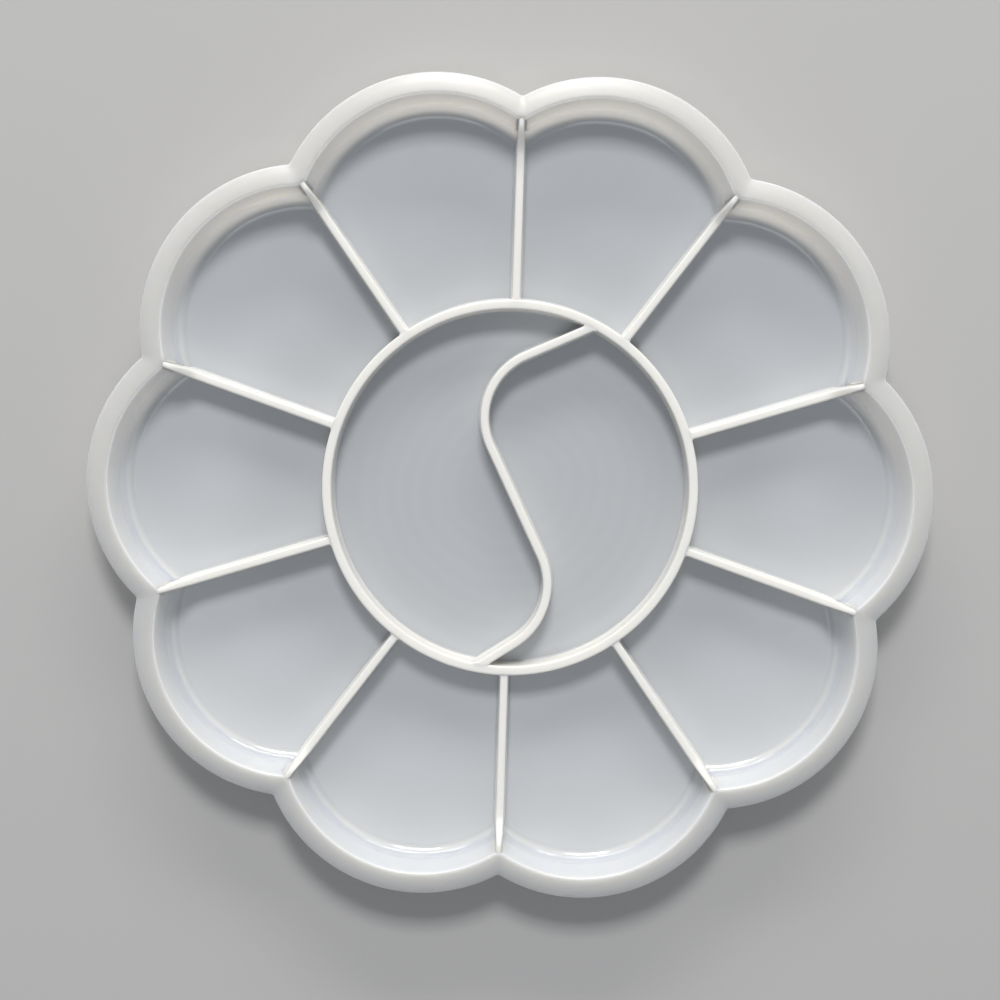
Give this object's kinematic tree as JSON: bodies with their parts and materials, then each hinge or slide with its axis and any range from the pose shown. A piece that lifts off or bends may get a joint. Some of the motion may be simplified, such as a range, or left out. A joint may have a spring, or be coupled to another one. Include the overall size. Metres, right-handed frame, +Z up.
{
  "type": "mixing palette",
  "caption": "Flower-shaped paint mixing palette in thin milky white plastic: petal wells round a circular mixing area that an S-shaped wall divides in two.",
  "frame": {"origin": "middle of the flat underside, on the axis of the round mixing area", "axes": "+Z up out of the wells; +X along the middle of one petal; +Y along the straight divider between two petals"},
  "size_m": [0.16, 0.1552, 0.0105],
  "materials": {
    "floor_plastic": "smooth, slightly glossy, thin milky white plastic that reads cool grey",
    "rim_plastic": "smooth, slightly glossy milky white plastic",
    "wall_plastic": "smooth, slightly glossy milky white plastic"
  },
  "bodies": {
    "root": {"base_floor": "floor_plastic", "petal_rim_01": "rim_plastic", "petal_rim_02": "rim_plastic", "petal_rim_03": "rim_plastic", "petal_rim_04": "rim_plastic", "petal_rim_05": "rim_plastic", "petal_rim_06": "rim_plastic", "petal_rim_07": "rim_plastic", "petal_rim_08": "rim_plastic", "petal_rim_09": "rim_plastic", "petal_rim_10": "rim_plastic", "centre_ring_wall": "wall_plastic", "s_divider": "wall_plastic", "radial_divider_01": "wall_plastic", "radial_divider_02": "wall_plastic", "radial_divider_03": "wall_plastic", "radial_divider_04": "wall_plastic", "radial_divider_05": "wall_plastic", "radial_divider_06": "wall_plastic", "radial_divider_07": "wall_plastic", "radial_divider_08": "wall_plastic", "radial_divider_09": "wall_plastic", "radial_divider_10": "wall_plastic"}
  },
  "joints": []
}
